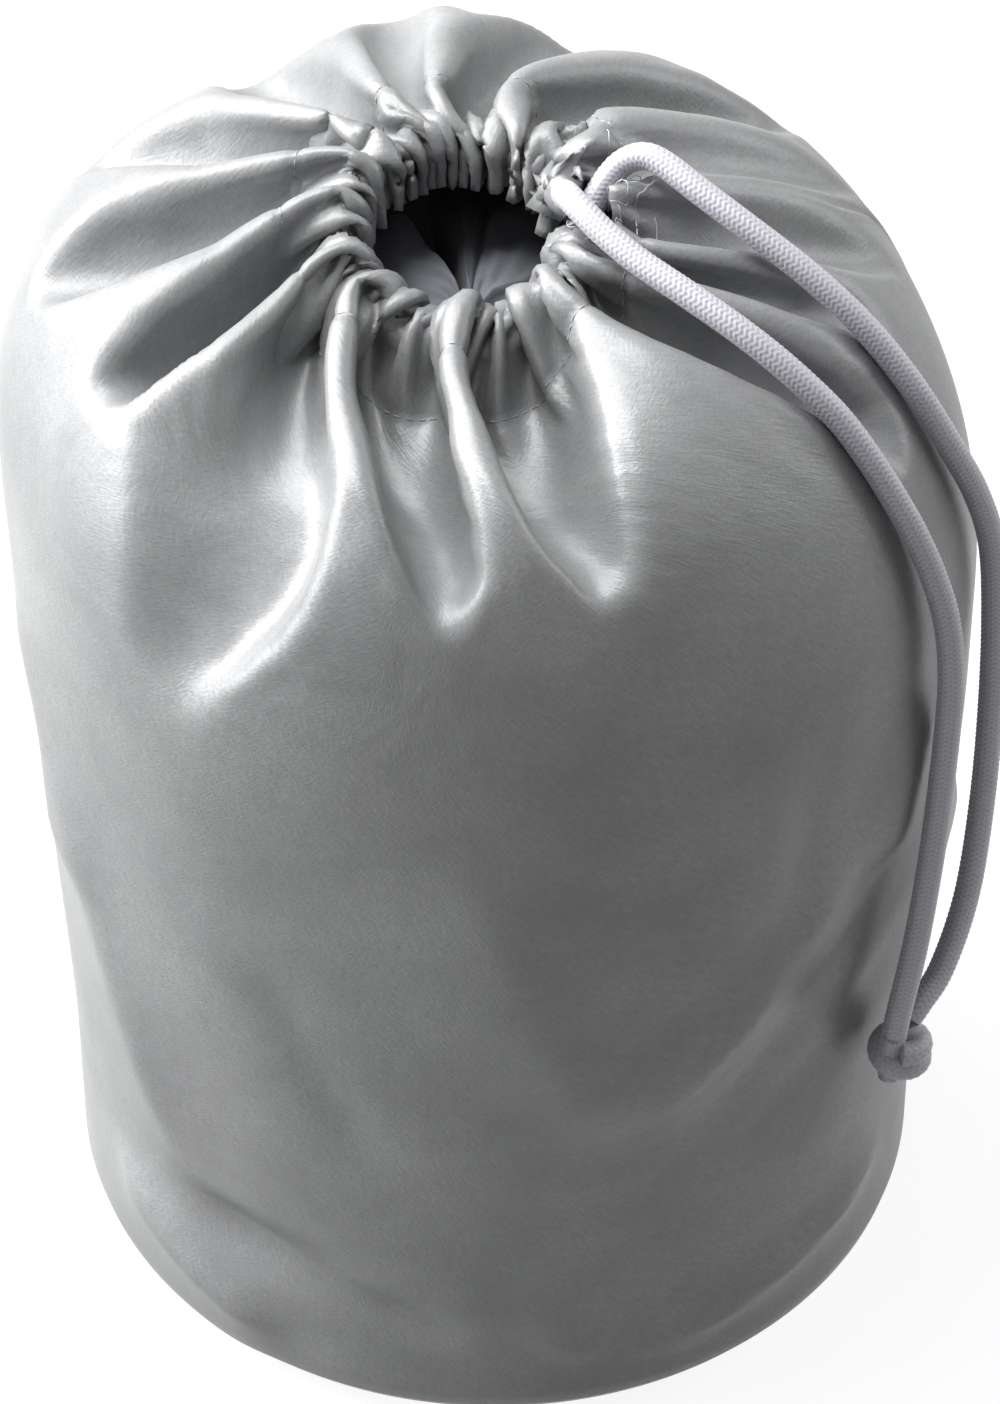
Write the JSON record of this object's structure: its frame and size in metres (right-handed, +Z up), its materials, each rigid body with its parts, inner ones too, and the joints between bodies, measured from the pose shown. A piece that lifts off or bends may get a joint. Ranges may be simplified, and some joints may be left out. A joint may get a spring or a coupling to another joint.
{
  "type": "boat cover packed in its drawstring storage bag",
  "caption": "Folded boat cover in an upright silver cloth storage bag: mouth gathered into a ruffled hem, round flat bottom, white braided drawcord with its ends tied in a knot.",
  "frame": {"origin": "centre of the bottom panel's underside, on the surface the bag stands on", "axes": "+Z up from the bottom panel to the mouth, -Y towards the side that faces the viewer, +X towards the side where the drawcord hangs"},
  "size_m": [0.2696, 0.2556, 0.3488],
  "materials": {
    "silver_cloth": "woven polyester with a silver coating, satin",
    "cover_cloth": "dark grey woven polyester, matte",
    "cord_braid": "white braided polyester, slight sheen"
  },
  "bodies": {
    "root": {"bag_wall": "silver_cloth", "base_panel": "silver_cloth", "packed_cover": "cover_cloth", "drawcord_in_casing": "cord_braid", "drawcord_front": "cord_braid", "drawcord_rear": "cord_braid", "drawcord_knot": "cord_braid"}
  },
  "joints": []
}
